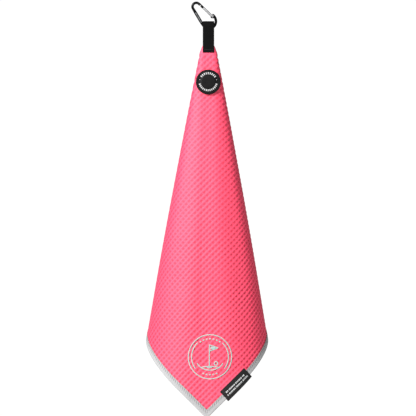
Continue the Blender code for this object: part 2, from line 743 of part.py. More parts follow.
# ---------------------------------------------------------------- assembly
def build():
    clear_scene()
    anodised = material("anodised_black", (0.012, 0.012, 0.013), 0.28, 0.6)
    bright = material("brushed_steel", (0.62, 0.63, 0.64), 0.30, 1.0)
    steel = material("pin_steel", (0.45, 0.46, 0.47), 0.35, 1.0)
    webbing = material("black_webbing", (0.012, 0.012, 0.012), 0.85)
    thread = material("black_thread", (0.02, 0.02, 0.02), 0.7)
    pink = material("pink_waffle", (0.93, 0.11, 0.23), 0.95)
    tape = material("grey_tape", (0.68, 0.68, 0.68), 0.85)
    rubber = material("black_patch", (0.015, 0.015, 0.015), 0.5)
    felt = material("patch_felt", (0.02, 0.02, 0.02), 0.95)
    magnet = material("magnet_plating", (0.55, 0.55, 0.56), 0.25, 1.0)
    label = material("woven_label", (0.03, 0.03, 0.03), 0.8)

    build_carabiner(anodised)
    build_gate(bright, steel, steel)
    swing = joint_empty("towel_pivot", LOOP_AT)
    build_webbing(webbing, swing)
    build_tacks(thread, swing)
    build_cloth(pink, swing)
    build_binding(tape, swing)
    build_label(label, swing)
    build_patch(rubber, magnet, felt, swing)


build()
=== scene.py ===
"""Golf towel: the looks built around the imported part."""
import math

import bmesh
import bpy
import numpy as np
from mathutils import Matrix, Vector


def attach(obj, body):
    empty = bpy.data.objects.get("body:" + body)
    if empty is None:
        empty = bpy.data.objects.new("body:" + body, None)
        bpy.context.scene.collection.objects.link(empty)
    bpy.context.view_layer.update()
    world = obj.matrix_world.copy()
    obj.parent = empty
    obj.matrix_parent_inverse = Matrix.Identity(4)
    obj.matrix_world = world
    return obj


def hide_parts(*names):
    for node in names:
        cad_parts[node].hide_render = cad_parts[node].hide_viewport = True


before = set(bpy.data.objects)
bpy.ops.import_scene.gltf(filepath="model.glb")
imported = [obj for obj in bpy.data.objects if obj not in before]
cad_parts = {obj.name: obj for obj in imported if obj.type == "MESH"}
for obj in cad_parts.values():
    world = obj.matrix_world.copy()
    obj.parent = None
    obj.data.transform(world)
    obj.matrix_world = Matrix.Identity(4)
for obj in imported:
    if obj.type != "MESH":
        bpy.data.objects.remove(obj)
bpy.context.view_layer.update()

# ---------------------------------------------------------------- sizes, as in the part
WEB_W = 0.0173              # webbing's width
WEB_T = 0.0010              # webbing's thickness
LOOP_R = 0.0060             # bend of the webbing's middle line round the carabiner's bar
LOOP_X = 0.0183             # middle of the loop and the towel
LOOP_Z = -0.0321            # centre of the loop's bend
WEB_LEG_END = 0.0113        # how far both legs reach below the towel's clamped line
SIDE = 0.4060               # the towel's square
CLOTH_T = 0.0015            # cloth's thickness
CLAMP_HALF = 0.00877        # half width of the cloth held flat between the legs
CLAMP_Z = -0.0619           # height of the clamped line
CONE_START = 0.0180         # the cone's tip lies this far above the clamped line
LEAN = 0.0047               # sideways lean of the hanging cloth
BIND_W = 0.0087             # reach of the binding in from the square's edge
BIND_OUT = 0.0010           # reach of the binding out from it
BIND_T = 0.0024             # thickness over the binding
PATCH_D = 0.0378            # patch's diameter
PATCH_AT = 0.0568           # patch's centre below the clamped line
COVER_FROM = 0.0014         # the cover's back, above the cloth
COVER_H = 0.0032            # cover's height
COVER_SKIN = 0.0008         # cover's wall over the magnet
MAGNET_D = 0.0300           # magnet's diameter
LABEL_LEN = 0.0520          # label's length along the edge
LABEL_T = 0.0006            # label's thickness
LABEL_AT = 0.0670           # label's middle, from the square's lowest corner
GAP = 0.0003                # clearance between neighbours
PIN_GAP = 0.00012           # finer clearance
FRONT_LEAN = 0.138538       # forward run of the front line, per unit of length
FRONT_FALL = 0.990357       # its fall, per unit of length
TACK_LEN = 0.0140           # length of a bar tack
TACK_UP = 0.0044            # a bar tack's height above the end of its leg

# ---------------------------------------------------------------- sizes of the looks
# section of the hanging cloth's right half, as arcs of a unit cone: round the front, the
# side and the back to the middle, then a roll that turns inward and runs back inside
SECTION = (
    (0.230, 31.7), (0.1225, 58.3), (0.105, 68.0), (0.240, 18.6),
    (0.030, 181.0), (0.180, -18.6), (0.045, -68.0), (0.0625, -58.3), (0.170, -31.7),
)
NARROWER = 0.035            # the cone's lower end is this share narrower than its middle
PINCH = 0.34                # the cone's top is squeezed by this share at the strap
SIDE_LIFT = 0.0165          # the sides hang this share shorter at the hem
CELL = 0.00635              # waffle cell
CELL_STEPS = 5
PIT = 0.00150               # depth of a waffle cell
HEM = 0.0009                # the cloth ends this far inside the binding's fold
UNDER = 0.0006              # the cloth lies flat this far beyond the binding
PUCKER = 0.0039             # pitch of the stitches in the bound edge
STITCH_AT = 0.0060          # stitch line, in from the square's edge
EDGE_FROM = 0.0500          # the binding shows from this far along the upper edges
BIND_SLOT = 0.00082         # half of the room for the cloth inside the binding
BIND_LIP = 0.00048          # the binding's inner lips are this much thinner
LABEL_INNER = 0.0140        # reach of the label's face, in from the square's edge
LABEL_OUTER = 0.0052        # and out from it
RIB = 0.000045              # height of the webbing's ribs
RIB_PITCH = 0.00145         # pitch of the ribs across the webbing
PICK = 0.0011               # pitch of the weave along the webbing
ZIGZAG = 0.0008             # half height of a bar tack's zigzag
EMBLEM_DOWN = 0.4824        # the emblem's centre, down the square's diagonal
EMBLEM_ACROSS = 0.0046      # and across it
EMBLEM_LINE = 0.0017        # width of its lines
EMBLEM_DOT = 0.0022         # width of its dots
EMBLEM_RING = 0.0335        # radius of its outer ring
EMBLEM_ARC = 0.0285         # radius of its inner arcs
EMBLEM_DOTS = 0.0272        # radius of its rows of dots
EMBLEM_SCALE = (0.970, 0.994)

# ---------------------------------------------------------------- camera, stage and light
LENS = 500.0
CAMERA_AT = (0.0176, -8.725, -0.3078)
FLOOR_Z = -0.700
FLOOR_R = 1.0
KEY_AT = (-1.35, -1.35, 0.80)
KEY_AIM = (0.0, 0.0, -0.24)
KEY_SIZE = 0.7
KEY_POWER = 90.0
FILL_AT = (0.9, -4.4, 0.4)
FILL_AIM = (0.0, 0.0, -0.3)
FILL_SIZE = 2.0
FILL_POWER = 60.0
WHITE = 1.05                # the world as the camera sees it
SOFT = 0.27                 # the world as a light on the object


# ---------------------------------------------------------------- cone of the hanging cloth
def section_table(count=4000):
    """Arc lengths along the unit section, and the x, y there."""
    lengths = np.array([r * abs(math.radians(t)) for r, t in SECTION])
    ends = np.concatenate([[0.0], np.cumsum(lengths)])
    along = np.linspace(0.0, ends[-1], count)
    x = np.zeros(count)
    y = np.zeros(count)
    spot = np.array([0.0, -FRONT_LEAN])
    heading = 0.0
    for (radius, turn), low, high in zip(SECTION, ends, ends[1:]):
        side = math.copysign(1.0, turn)
        normal = math.radians(heading + 90.0 * side)
        centre = spot + radius * np.array([math.cos(normal), math.sin(normal)])
        here = (along >= low) & (along <= high)
        turned = normal + math.pi + side * (along[here] - low) / radius
        x[here] = centre[0] + radius * np.cos(turned)
        y[here] = centre[1] + radius * np.sin(turned)
        last = normal + math.pi + math.radians(turn)
        spot = centre + radius * np.array([math.cos(last), math.sin(last)])
        heading += turn
    return along, x, y


ALONG, SECTION_X, SECTION_Y = section_table()


def smooth(x, low, high):
    t = np.clip((x - low) / (high - low), 0.0, 1.0)
    return t * t * (3.0 - 2.0 * t)


def cone(u, v):
    """Places of the cloth's points (u, v), measured along its two upper edges."""
    u, v = np.broadcast_arrays(np.asarray(u, float), np.asarray(v, float))
    down = (u + v) / math.sqrt(2)
    across = (u - v) / math.sqrt(2)
    side = np.where(across >= 0, 1.0, -1.0)
    out = np.maximum(np.abs(across) - CLAMP_HALF, 0.0)
    fall = down - CLAMP_HALF
    fan = (fall > 0) & (out > 0)
    ray = np.hypot(out, np.maximum(fall, 0.0))
    start = CONE_START * smooth(ray, 0.0, 0.014)
    reach = ray + start
    angle = np.arctan2(out, np.maximum(fall, 1e-12))
    sx = np.interp(angle, ALONG, SECTION_X)
    sy = np.interp(angle, ALONG, SECTION_Y)
    drop = np.sqrt(1.0 - sx ** 2 - sy ** 2)
    sx = sx * (1.0 - NARROWER * smooth(reach, 0.22, 0.50)) * (1.0 - PINCH * np.exp(-ray / 0.038))
    lift = SIDE_LIFT * smooth(reach, 0.15, 0.40) * smooth(angle, 0.08, 0.24) * smooth(angle, 0.75, 0.45)
    drop = drop * (1.0 - lift)
    fold = fold_wave(angle, reach, side)
    x = np.where(fan, side * (CLAMP_HALF + reach * sx), across)
    y = np.where(fan, reach * sy + start * FRONT_LEAN + fold,
                 -FRONT_LEAN * np.maximum(fall, 0.0) + fold_wave(0.0, fall, side))
    z = np.where(fan, -ray * drop, np.where(fall > 0, -FRONT_FALL * fall, -fall))
    return np.stack([LOOP_X + x + LEAN * z, y, CLAMP_Z + z], axis=-1)


def fold_wave(angle, reach, side):
    """Slow swells of the cloth's front and back, deeper towards the hem."""
    swell = 0.0016 * np.sin(side * angle * 21.0 + 0.6) + 0.0008 * np.sin(angle * 37.0 - reach * 9.0)
    return swell * smooth(reach, 0.10, 0.42)


def cone_normal(u, v):
    """Unit normals towards the outside of the cone."""
    d = 0.0006
    du = cone(u + d, v) - cone(u - d, v)
    dv = cone(u, v + d) - cone(u, v - d)
    n = np.cross(dv, du)
    return n / np.linalg.norm(n, axis=-1, keepdims=True)


def on_cloth(u, v, height):
    u, v, height = np.broadcast_arrays(*[np.asarray(a, float) for a in (u, v, height)])
    return cone(u, v) + cone_normal(u, v) * height[..., None]


def square_point(down, across):
    return (down + across) / math.sqrt(2), (down - across) / math.sqrt(2)


# ---------------------------------------------------------------- meshes
def mesh_object(name, verts, faces, material, uv=None, body="towel", fields=None, closed=True):
    mesh = bpy.data.meshes.new(name)
    verts = np.asarray(verts, float).reshape(-1, 3)
    faces = [tuple(int(i) for i in f) for f in faces]
    mesh.from_pydata(verts.tolist(), [], faces)
    for key, values in (fields or {}).items():
        layer = mesh.attributes.new(key, "FLOAT", "POINT")
        layer.data.foreach_set("value", np.asarray(values, np.float32).ravel())
    if uv is not None:
        layer = mesh.uv_layers.new(name="flat")
        index = np.zeros(len(mesh.loops), np.int32)
        mesh.loops.foreach_get("vertex_index", index)
        layer.data.foreach_set("uv", np.asarray(uv, np.float32).reshape(-1, 2)[index].ravel())
    if closed:
        bm = bmesh.new()
        bm.from_mesh(mesh)
        bmesh.ops.recalc_face_normals(bm, faces=bm.faces)
        bm.to_mesh(mesh)
        bm.free()
    mesh.materials.append(material)
    mesh.shade_smooth()
    obj = bpy.data.objects.new(name, mesh)
    bpy.context.scene.collection.objects.link(obj)
    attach(obj, body)
    return obj


def grid_faces(rows, columns, around=False):
    """Quads of a grid of rows * columns points; `around` closes each row."""
    i, j = np.meshgrid(np.arange(rows - 1), np.arange(columns if around else columns - 1),
                       indexing="ij")
    k = (j + 1) % columns
    quads = np.stack([i * columns + j, (i + 1) * columns + j, (i + 1) * columns + k,
                      i * columns + k], axis=-1)
    return quads.reshape(-1, 4).tolist()


def tube_faces(rows, columns):
    """A closed-section strip with both ends capped."""
    faces = grid_faces(rows, columns, around=True)
    faces.append(list(range(columns)))
    faces.append(list(range(rows * columns - 1, (rows - 1) * columns - 1, -1)))
    return faces


def join(parts):
    """(verts, faces) pairs as one."""
    verts = []
    faces = []
    count = 0
    for points, quads in parts:
        points = np.asarray(points, float).reshape(-1, 3)
        verts.append(points)
        faces += [[i + count for i in q] for q in quads]
        count += len(points)
    return np.concatenate(verts), faces


def threads(ends, lift, radius, sides=6, rings=7):
    """Short arched threads; ends is a list of (start, end, up) places."""
    parts = []
    for start, end, up in ends:
        start, end, up = (np.asarray(p, float) for p in (start, end, up))
        run = end - start
        across = np.cross(run, up)
        across /= np.linalg.norm(across)
        t = np.linspace(0.0, 1.0, rings)
        line = start + run * t[:, None] + up * (lift * np.sin(math.pi * t))[:, None]
        fat = radius * np.sqrt(np.clip(1.0 - (2 * t - 1) ** 6, 0.06, 1.0))
        a = np.arange(sides) * 2 * math.pi / sides
        ring = across * np.cos(a)[:, None] + up * np.sin(a)[:, None]
        parts.append((line[:, None] + ring[None] * fat[:, None, None],
                      tube_faces(rings, sides)))
    return join(parts)


# ---------------------------------------------------------------- materials
class Shader:
    """A procedural material being built."""

    def __init__(self, name, roughness, metallic=0.0, **constants):
        self.material = bpy.data.materials.new(name)
        self.material.use_nodes = True
        self.tree = self.material.node_tree
        self.surface = self.tree.nodes["Principled BSDF"]
        self.surface.inputs["Metallic"].default_value = metallic
        for key, value in constants.items():
            self.surface.inputs[key.replace("_", " ")].default_value = value
        self.set("Roughness", roughness)
        self.bumped = None

    def set(self, socket, value):
        target = self.surface.inputs[socket]
        if isinstance(value, bpy.types.NodeSocket):
            self.tree.links.new(value, target)
        else:
            target.default_value = value

    def node(self, kind, output, inputs, **settings):
        made = self.tree.nodes.new(kind)
        for key, value in settings.items():
            setattr(made, key, value)
        for key, value in inputs.items():
            if isinstance(value, bpy.types.NodeSocket):
                self.tree.links.new(value, made.inputs[key])
            else:
                made.inputs[key].default_value = value
        return made.outputs[output]

    def place(self):
        return self.node("ShaderNodeTexCoord", "Object", {})

    def flat(self):
        return self.node("ShaderNodeUVMap", "UV", {}, uv_map="flat")

    def noise(self, scale, detail=3.0, at=None, rough=0.55):
        return self.node("ShaderNodeTexNoise", "Fac",
                         {"Vector": at or self.place(), "Scale": scale, "Detail": detail,
                          "Roughness": rough})

    def wave(self, scale, at, direction="X", distortion=0.0):
        return self.node("ShaderNodeTexWave", "Fac",
                         {"Vector": at, "Scale": scale, "Distortion": distortion,
                          "Detail": 1.0}, bands_direction=direction)

    def maths(self, operation, a, b=0.0, c=0.0):
        return self.node("ShaderNodeMath", 0, {0: a, 1: b, 2: c}, operation=operation)

    def spread(self, value, low, high, to_low, to_high):
        return self.node("ShaderNodeMapRange", 0,
                         {0: value, 1: low, 2: high, 3: to_low, 4: to_high})

    def mix(self, factor, a, b):
        made = self.tree.nodes.new("ShaderNodeMix")
        made.data_type = "RGBA"
        for socket, value in ((made.inputs[0], factor), (made.inputs[6], a), (made.inputs[7], b)):
            if isinstance(value, bpy.types.NodeSocket):
                self.tree.links.new(value, socket)
            else:
                socket.default_value = value if isinstance(value, float) else (*value, 1.0)
        return made.outputs[2]

    def field(self, name):
        return self.node("ShaderNodeAttribute", "Fac", {}, attribute_name=name)

    def bump(self, height, distance, strength=1.0):
        inputs = {"Height": height, "Distance": distance, "Strength": strength}
        if self.bumped:
            inputs["Normal"] = self.bumped
        self.bumped = self.node("ShaderNodeBump", "Normal", inputs)
        self.set("Normal", self.bumped)


def woven(name, dark, light, thread, depth, roughness=0.85, sheen=0.0, painted_hollow_shade=None):
    """Plain-woven tape: threads both ways over the piece's flat coordinates."""
    s = Shader(name, roughness, Sheen_Weight=sheen, Sheen_Roughness=0.5,
               Specular_IOR_Level=0.08)
    at = s.flat()
    scale = 1.0 / thread / 3.18
    warp = s.wave(scale, at, "X", 0.4)
    weft = s.wave(scale, at, "Y", 0.4)
    weave = s.maths("MULTIPLY", warp, weft)
    wear = s.noise(90.0, 4.0)
    fibre = s.noise(2600.0, 3.0)
    shade = s.maths("ADD", s.maths("MULTIPLY", weave, 0.55), s.maths("MULTIPLY", wear, 0.55))
    s.set("Base Color", s.mix(shade, dark, light))
    s.set("Roughness", s.spread(wear, 0.3, 0.7, roughness - 0.1, min(1.0, roughness + 0.08)))
    # Painted shade: where the tape's dip field is high, the colour goes to the hollows colour, standing
    # in for shade in the stitch dips and along the inner fold.
    if painted_hollow_shade:
        painted_crease_shade = s.field("painted_crease_shade")
        s.set("Base Color", s.mix(painted_crease_shade, s.mix(shade, dark, light), painted_hollow_shade))
    s.bump(weave, depth, 0.7)
    s.bump(fibre, 0.00006, 0.5)
    return s.material


def waffle_material():
    s = Shader("pink_waffle_cloth", 0.62, Sheen_Weight=0.02, Sheen_Roughness=0.55,
               Sheen_Tint=(1.0, 0.60, 0.70, 1.0), Specular_IOR_Level=0.60)
    at = s.flat()
    pit = s.field("pit")
    tuft = s.noise(1500.0, 3.0, at)
    patchy = s.noise(26.0, 3.0, at)
    loop_u = s.wave(1.0 / 0.00085 / 3.18, at, "X", 0.8)
    loop_v = s.wave(1.0 / 0.00085 / 3.18, at, "Y", 0.8)
    # Painted shade: the waffle's pits take a deeper, darker pink than the ridges, standing in for shade
    # and bounced light in the hollows.
    ridge_and_painted_pit_shade = s.mix(pit, (0.93, 0.062, 0.136), (0.47, 0.004, 0.028))
    lit = s.mix(s.spread(tuft, 0.35, 0.75, 0.0, 0.22), ridge_and_painted_pit_shade, (0.92, 0.10, 0.19))
    worn = s.mix(s.spread(patchy, 0.35, 0.7, 0.0, 0.12), lit, (0.74, 0.03, 0.09))
    s.set("Base Color", worn)
    s.bump(s.maths("ADD", loop_u, loop_v), 0.00010, 0.5)
    s.bump(tuft, 0.00022, 0.6)
    return s.material


def rod_material():
    """Glossy black coating, rubbed to a satin grey along the flat of the spine."""
    s = Shader("black_rod_coat", 0.22, 0.0, Coat_Weight=0.01, Coat_Roughness=0.10,
               Specular_IOR_Level=0.06)
    at = s.place()
    split = s.node("ShaderNodeSeparateXYZ", "X", {"Vector": at})
    parts = split.node
    along = s.maths("ADD", s.maths("MULTIPLY", split, -0.512),
                    s.maths("MULTIPLY", parts.outputs["Z"], 0.859))
    across = s.maths("ADD", s.maths("MULTIPLY", split, 0.859),
                     s.maths("MULTIPLY", parts.outputs["Z"], 0.512))
    off = s.maths("ABSOLUTE", s.maths("SUBTRACT", across, -0.00765))
    scratch = s.noise(420.0, 4.0, at, 0.7)
    fine = s.noise(2600.0, 3.0, at)
    strip = s.spread(off, 0.0004, 0.0009, 1.0, 0.0)
    ends = s.maths("MULTIPLY", s.spread(along, -0.0285, -0.0270, 0.0, 1.0),
                   s.spread(along, -0.0110, -0.0095, 1.0, 0.0))
    rubbed = s.maths("MULTIPLY", s.maths("MULTIPLY", strip, ends),
                     s.spread(scratch, 0.38, 0.56, 0.25, 1.0))
    s.set("Base Color", s.mix(rubbed, (0.0020, 0.0020, 0.0024), (0.17, 0.175, 0.18)))
    s.set("Roughness", s.maths("ADD", s.spread(scratch, 0.3, 0.8, 0.16, 0.34),
                               s.maths("MULTIPLY", rubbed, 0.2)))
    s.bump(fine, 0.00003, 0.4)
    return s.material


def metal_material(name, colour, dark, roughness, grain):
    """Drawn or turned metal, with fine lines along one way and a little tarnish."""
    s = Shader(name, roughness, 1.0)
    at = s.place()
    lines = s.node("ShaderNodeMapping", "Vector",
                   {"Vector": at, "Rotation": (0.0, math.radians(44.2), 0.0),
                    "Scale": (1.0, 1.0, 30.0) if grain else (1.0, 30.0, 1.0)})
    drawn = s.noise(300.0, 4.0, lines, 0.7)
    tarnish = s.noise(380.0, 3.0, at)
    s.set("Base Color", s.mix(s.spread(tarnish, 0.4, 0.75, 0.0, 0.7), colour, dark))
    s.set("Roughness", s.spread(drawn, 0.3, 0.7, roughness - 0.07, roughness + 0.12))
    s.bump(drawn, 0.00002, 0.5)
    return s.material


def rubber_material():
    s = Shader("black_patch_skin", 0.5, Specular_IOR_Level=0.09)
    grain = s.noise(1900.0, 4.0)
    smear = s.noise(120.0, 3.0)
    s.set("Base Color", s.mix(s.spread(smear, 0.3, 0.7, 0.0, 1.0), (0.0028, 0.0028, 0.0031),
                              (0.0062, 0.0062, 0.0065)))
    s.set("Roughness", s.spread(smear, 0.3, 0.7, 0.46, 0.62))
    s.bump(grain, 0.00005, 0.5)
    return s.material


def print_material(name, colour, worn):
    s = Shader(name, 0.7, Specular_IOR_Level=0.25)
    speck = s.noise(900.0, 4.0)
    strand = s.noise(3200.0, 2.0)
    s.set("Base Color", s.mix(s.spread(speck, 0.42, 0.75, 0.0, 1.0), colour, worn))
    s.bump(strand, 0.00008, 0.5)
    return s.material


def felt_material():
    s = Shader("black_felt", 0.95, Sheen_Weight=0.3, Sheen_Roughness=0.4)
    fuzz = s.noise(2200.0, 4.0)
    s.set("Base Color", s.mix(fuzz, (0.006, 0.006, 0.006), (0.022, 0.022, 0.023)))
    s.bump(fuzz, 0.00015, 0.7)
    return s.material


WAFFLE = waffle_material()
# The tape's last colour is painted shade for its stitch dips and inner fold.
TAPE = woven("grey_binding_tape", (0.28, 0.28, 0.282), (0.42, 0.42, 0.423), 0.0007, 0.00010,
             0.85, 0.10, (0.06, 0.06, 0.063))
WEBBING = woven("black_webbing_weave", (0.0010, 0.0010, 0.0010), (0.0055, 0.0055, 0.0056),
                0.0011, 0.00014, 0.86)
LABEL = woven("black_label_weave", (0.010, 0.010, 0.010), (0.026, 0.026, 0.026), 0.0005,
              0.00005, 0.8)
THREAD_BLACK = woven("black_thread_twist", (0.008, 0.008, 0.008), (0.03, 0.03, 0.03), 0.0004,
                     0.00004, 0.6)
THREAD_GREY = woven("grey_thread_twist", (0.22, 0.22, 0.22), (0.36, 0.36, 0.36), 0.0004,
                    0.00004, 0.7)
LABEL_PRINT = print_material("label_woven_marks", (0.55, 0.56, 0.56), (0.30, 0.31, 0.31))
PATCH_PRINT = print_material("patch_moulded_marks", (0.50, 0.50, 0.50), (0.26, 0.26, 0.26))
EMBLEM = print_material("emblem_threads", (0.31, 0.42, 0.395), (0.23, 0.30, 0.285))
RUBBER = rubber_material()


# ---------------------------------------------------------------- the towel's cloth
def build_cloth():
    cells = round(SIDE / CELL)
    steps = cells * CELL_STEPS
    line = np.linspace(HEM, SIDE - HEM, steps + 1)
    u, v = np.meshgrid(line, line, indexing="ij")
    ridge_u = np.abs(np.cos(math.pi * cells * u / SIDE))
    ridge_v = np.abs(np.cos(math.pi * cells * v / SIDE))
    ridge = np.maximum(ridge_u, 0.82 * ridge_v) ** 1.5
    pit = 1.0 - ridge
    down = (u + v) / math.sqrt(2)
    across = np.abs(u - v) / math.sqrt(2)
    strap_end = CLAMP_HALF + WEB_LEG_END
    under_strap = smooth(down, strap_end + 0.0055, strap_end + 0.0005)
    under_strap = under_strap * smooth(across, CLAMP_HALF + 0.006, CLAMP_HALF)
    edge = np.minimum(np.minimum(u, v), np.minimum(SIDE - u, SIDE - v))
    held = np.maximum(under_strap, smooth(edge, BIND_W + UNDER, BIND_W - 0.002))
    beside = np.abs(v - (SIDE - LABEL_AT))
    under_label = smooth(u, SIDE - LABEL_INNER - 0.004, SIDE - LABEL_INNER)
    under_label = under_label * smooth(beside, LABEL_LEN / 2 + 0.004, LABEL_LEN / 2)
    held = np.maximum(held, under_label)
    uneven = 0.80 + 0.20 * np.sin(u * 61.0 + 3.0 * np.sin(v * 23.0)) * np.sin(v * 47.0)
    slack = 0.85 + 0.40 * smooth(down, 0.12, 0.48)
    pit = pit * slack * (1.0 - held)
    height = CLOTH_T / 2 - PIT * pit * uneven
    points = on_cloth(u, v, height)
    outward = [q[::-1] for q in grid_faces(steps + 1, steps + 1)]
    obj = mesh_object("waffle_cloth", points, outward, WAFFLE, np.stack([u, v], axis=-1),
                      fields={"pit": pit}, closed=False)
    solid = obj.modifiers.new("thickness", "SOLIDIFY")
    solid.thickness = CLOTH_T
    solid.offset = -1.0
    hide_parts("towel_cloth")
    return obj


# ---------------------------------------------------------------- bound edge
def edge_point(s, inset):
    """(u, v) at distance s along the right half of the square's edge, this far in."""
    upper = SIDE - EDGE_FROM
    first = np.clip(s / upper, 0.0, 1.0)
    second = np.clip((s - upper) / SIDE, 0.0, 1.0)
    u = np.where(s < upper, EDGE_FROM + (SIDE - inset - EDGE_FROM) * first, SIDE - inset)
    v = np.where(s < upper, inset, inset + (SIDE - 2 * inset) * second)
    return u, v


def around_edge(s, inset):
    """(u, v) along the whole bound edge; s runs through both halves."""
    half = 2 * SIDE - EDGE_FROM
    mirrored = s > half
    u, v = edge_point(np.where(mirrored, 2 * half - s, s), inset)
    return np.where(mirrored, v, u), np.where(mirrored, u, v)


def tape_lift(s, inset):
    """How far the tape's face dips or stands at its seam."""
    wave = 0.5 + 0.5 * np.cos(2 * math.pi * s / PUCKER)
    seam = np.exp(-((inset - STITCH_AT) / 0.0019) ** 2)
    roll = np.exp(-((inset - 0.0015) / 0.0022) ** 2)
    slow = np.sin(s * 130.0 + 2.0 * np.sin(s * 41.0))
    wrinkle = np.exp(-((inset - STITCH_AT) / 0.0042) ** 2)
    return -0.00036 * seam * (0.25 + 0.75 * wave) - 0.00012 * wrinkle * wave + 0.00008 * roll * slow


def build_binding():
    half = BIND_T / 2
    total = 2 * (2 * SIDE - EDGE_FROM)
    count = 1640
    s = np.linspace(0.0, total, count)
    flat = (BIND_W - 0.0002, 0.0078, 0.0070, 0.0060, 0.0050, 0.0040, 0.0025, 0.0008)
    rim = [(BIND_W, half - BIND_LIP, 1.0)]
    rim += [(inset, half, 1.0) for inset in flat]
    for a in (75.0, 50.0, 25.0, 0.0, -25.0, -50.0, -75.0):
        bulge = math.radians(a)
        rim.append((-BIND_OUT + 0.0011 * (1 - math.cos(bulge)), half * math.sin(bulge), 0.0))
    rim += [(inset, -half, -1.0) for inset in reversed(flat)]
    rim.append((BIND_W, BIND_LIP - half, -1.0))
    rim += [(BIND_W - 0.0002, -BIND_SLOT, 0.0), (0.0004, -BIND_SLOT, 0.0),
            (0.0004, BIND_SLOT, 0.0), (BIND_W - 0.0002, BIND_SLOT, 0.0)]
    insets = np.array([r[0] for r in rim])
    heights = np.array([r[1] for r in rim])
    faces_out = np.array([r[2] for r in rim])
    grid_s, inset = np.meshgrid(s, insets, indexing="ij")
    edge_wander = 0.00022 * np.sin(grid_s * 2 * math.pi / PUCKER) * (inset > BIND_W - 0.0005)
    inset = inset + edge_wander
    height = heights[None] + faces_out[None] * tape_lift(grid_s, inset)
    u, v = around_edge(grid_s, inset)
    points = on_cloth(u, v, height)
    uv = np.stack([grid_s, inset], axis=-1)
    # Painted shade: a darker colour in the puckered stitch holes along the seam, and along the fold at
    # the tape's inner edge.
    hole = (0.5 + 0.5 * np.cos(2 * math.pi * grid_s / PUCKER)) ** 3
    painted_crease_shade = hole * np.exp(-((inset - STITCH_AT) / 0.0017) ** 2) * np.abs(faces_out)[None]
    fold = np.exp(-((inset - BIND_W) / 0.0004) ** 2) * 0.6
    obj = mesh_object("binding_tape", points, tube_faces(count, len(rim)), TAPE, uv,
                      fields={"painted_crease_shade": np.maximum(painted_crease_shade, fold)})
    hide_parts("edge_binding")
    return obj


def build_binding_stitches():
    total = 2 * (2 * SIDE - EDGE_FROM)
    middle = total / 2
    starts = np.arange(0.5 * PUCKER, total - PUCKER, PUCKER)
    starts = starts[np.abs(starts + PUCKER / 2 - middle) > 0.0075]
    ends = []
    for face in (1.0, -1.0):
        for k, near in enumerate((starts + 0.0007, starts + PUCKER - 0.0007)):
            u, v = around_edge(near, STITCH_AT)
            height = face * (BIND_T / 2 - 0.00038)
            places = on_cloth(u, v, height)
            if k == 0:
                first = places
            else:
                normal = cone_normal(u, v) * face
                ends += list(zip(first, places, normal))
    verts, faces = threads(ends, 0.00034, 0.00020)
    uv = np.stack([np.arange(len(verts)) * 0.0002, np.arange(len(verts)) * 0.0001], axis=-1)
    obj = mesh_object("binding_stitches", verts, faces, THREAD_GREY, uv)
    return obj


# ---------------------------------------------------------------- folded label
def label_point(s, inset):
    start = LABEL_AT - LABEL_LEN / 2
    return SIDE - inset, SIDE - start - s


def build_label():
    room = BIND_T / 2 + 2 * GAP
    count = 61
    s = np.linspace(0.0, LABEL_LEN, count)
    top = room + LABEL_T
    face = np.linspace(LABEL_INNER, 0.0016 - LABEL_OUTER, 15)
    rim = [(i, top) for i in face]
    for a in (60.0, 30.0, 0.0, -30.0, -60.0):
        bend = math.radians(a)
        rim.append((0.0012 * (1 - math.cos(bend)) - LABEL_OUTER, top * math.sin(bend)))
    rim += [(i, -top) for i in reversed(face)]
    deep = -BIND_OUT - GAP - PIN_GAP
    rim += [(LABEL_INNER, -room), (deep, -room), (deep, room), (LABEL_INNER, room)]
    insets = np.array([r[0] for r in rim])
    heights = np.array([r[1] for r in rim])
    grid_s, inset = np.meshgrid(s, insets, indexing="ij")
    wavy = 0.00010 * np.sin(grid_s * 210.0) * np.sin(inset * 300.0 + 1.0)
    u, v = label_point(grid_s, inset)
    points = on_cloth(u, v, heights[None] + wavy * (np.abs(heights) > room))
    obj = mesh_object("folded_label", points, tube_faces(count, len(rim)), LABEL,
                      np.stack([grid_s, inset], axis=-1))
    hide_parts("edge_label")
    return obj


def block(place, low, high, base, top, steps=(4, 3)):
    """A small raised mark over place(a, b, height), with sloping sides."""
    a = np.linspace(low[0], high[0], steps[0])
    b = np.linspace(low[1], high[1], steps[1])
    ga, gb = np.meshgrid(a, b, indexing="ij")
    ma, mb = (low[0] + high[0]) / 2, (low[1] + high[1]) / 2
    upper = place(ma + (ga - ma) * 0.86, mb + (gb - mb) * 0.86, top)
    lower = place(ga, gb, base)
    rows, columns = steps
    count = rows * columns
    verts = np.concatenate([upper.reshape(-1, 3), lower.reshape(-1, 3)])
    faces = grid_faces(rows, columns)
    faces += [[i + count for i in reversed(q)] for q in grid_faces(rows, columns)]
    loop = list(range(columns))
    loop += [i * columns + columns - 1 for i in range(1, rows)]
    loop += [(rows - 1) * columns + j for j in range(columns - 2, -1, -1)]
    loop += [i * columns for i in range(rows - 2, 0, -1)]
    for near, far in zip(loop, loop[1:] + loop[:1]):
        faces.append([near, far, far + count, near + count])
    return verts, faces


def build_label_marks():
    """Two rows of short woven bars, which spell nothing."""
    top = BIND_T / 2 + 2 * GAP + LABEL_T
    parts = []

    def place(s, inset, height):
        u, v = label_point(s, inset)
        return on_cloth(u, v, height)

    widths = (1.5, 2.1, 1.2, 1.8, 1.4, 2.2, 1.6, 1.3, 2.0, 1.5, 1.9, 1.2, 1.7, 2.1, 1.4)
    rows = ((0, 0.0016, 0.0050, 0.0470), (5, 0.0064, 0.0060, 0.0455))
    for k, middle, s, last in rows:
        while s < last:
            wide = widths[k % len(widths)] * 0.001
            parts.append(block(place, (s, middle - 0.0012), (s + wide, middle + 0.0012),
                               top - 0.0001, top + 0.00016))
            s += wide + (0.0006 if k % 6 else 0.0016)
            k += 1
    verts, faces = join(parts)
    obj = mesh_object("label_marks", verts, faces, LABEL_PRINT, np.zeros((len(verts), 2)))
    return obj


